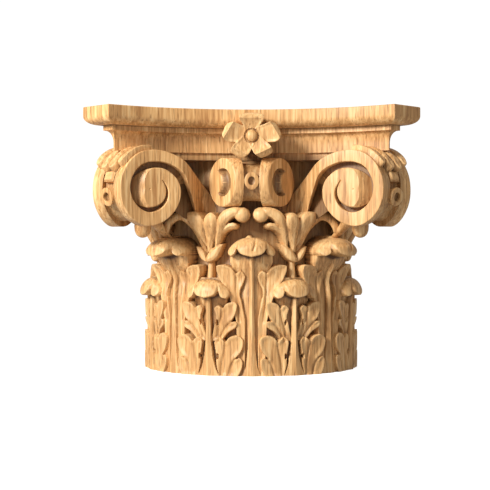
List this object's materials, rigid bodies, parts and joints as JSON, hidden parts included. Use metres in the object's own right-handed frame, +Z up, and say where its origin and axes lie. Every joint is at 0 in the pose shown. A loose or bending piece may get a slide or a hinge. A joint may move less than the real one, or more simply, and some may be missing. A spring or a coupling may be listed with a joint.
{
  "type": "corinthian capital",
  "caption": "Carved oak half capital with rows of acanthus leaves, scrolls under the corners, a rosette and a hollow-sided moulded abacus, cut flat at the back.",
  "frame": {"origin": "middle of the bounding box, on the underside", "axes": "+X to the right across the front, +Y from the front to the flat back, +Z up"},
  "size_m": [0.302, 0.151, 0.2435],
  "materials": {
    "oak": "satin, fine vertical grain"
  },
  "bodies": {
    "root": {"capital": "oak"}
  },
  "joints": []
}
